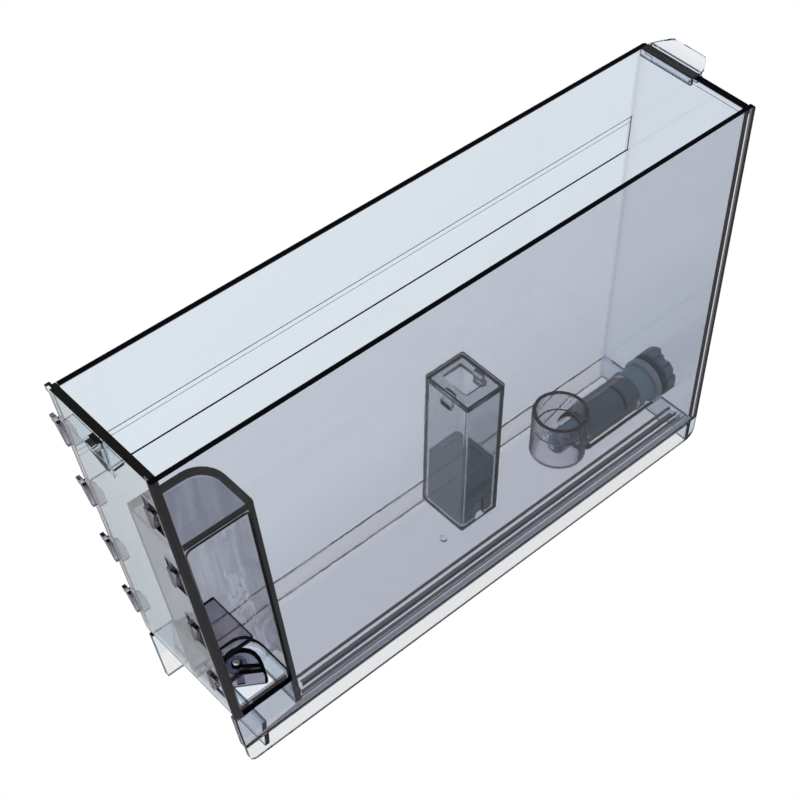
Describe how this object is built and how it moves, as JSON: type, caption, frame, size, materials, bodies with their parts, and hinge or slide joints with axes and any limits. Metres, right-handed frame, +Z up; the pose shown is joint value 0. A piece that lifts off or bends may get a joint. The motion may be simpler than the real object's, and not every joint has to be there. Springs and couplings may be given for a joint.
{
  "type": "slide-in water tank",
  "caption": "Tall narrow clear-walled slide-in water tank with a raked clipped front, a side finger pocket, a level float column and a spring outlet valve at the rear.",
  "frame": {"origin": "middle of the overall length and width, at the base plane", "axes": "+Z up towards the open rim, +Y along the tank towards the outlet end, +X towards the side plate with the finger pocket"},
  "size_m": [0.0718, 0.3424, 0.2186],
  "materials": {
    "shell_clear": "clear, glossy",
    "plate_clear": "clear, glossy",
    "front_clear": "clear, glossy",
    "tab_clear": "clear, glossy",
    "column_clear": "clear, glossy",
    "socket_clear": "clear, smoked",
    "clip_smoked": "clear, smoked",
    "keeper_smoked": "smoked",
    "float_grey": "fine foam, matt",
    "magnet": "coated",
    "valve_dark": "satin",
    "nut_dark": "satin",
    "seal_rubber": "matt",
    "steel": "bright"
  },
  "bodies": {
    "tank": {"tank_shell": "shell_clear", "side_plate": "plate_clear", "front_plate": "front_clear", "cover_clip_left_1": "clip_smoked", "cover_clip_left_2": "clip_smoked", "cover_clip_left_3": "clip_smoked", "cover_clip_left_4": "clip_smoked", "cover_clip_right_1": "clip_smoked", "cover_clip_right_2": "clip_smoked", "cover_clip_right_3": "clip_smoked", "cover_clip_right_4": "clip_smoked", "rear_grip_tab": "tab_clear", "float_cage": "column_clear", "float_retainer": "column_clear", "filter_socket": "socket_clear", "valve_body": "valve_dark", "body_seal": "seal_rubber", "valve_spring": "steel", "inner_lock_ring": "valve_dark", "wall_gasket": "seal_rubber", "outlet_nut": "nut_dark", "keeper_boss": "keeper_smoked", "keeper_screw": "steel"},
    "float": {"float": "float_grey", "float_magnet": "magnet"},
    "plunger": {"valve_plunger": "steel", "plunger_seal": "seal_rubber"}
  },
  "joints": [
    {"name": "float_rise", "type": "slide", "parent": "tank", "child": "float", "axis": [0, 0, 1], "range_m": [0, 0.038]},
    {"name": "valve_open", "type": "slide", "parent": "tank", "child": "plunger", "axis": [0, -1, 0], "range_m": [0, 0.004], "stiffness_N_per_m": 180, "springref_m": -0.008, "deforming": ["valve_spring"]}
  ]
}
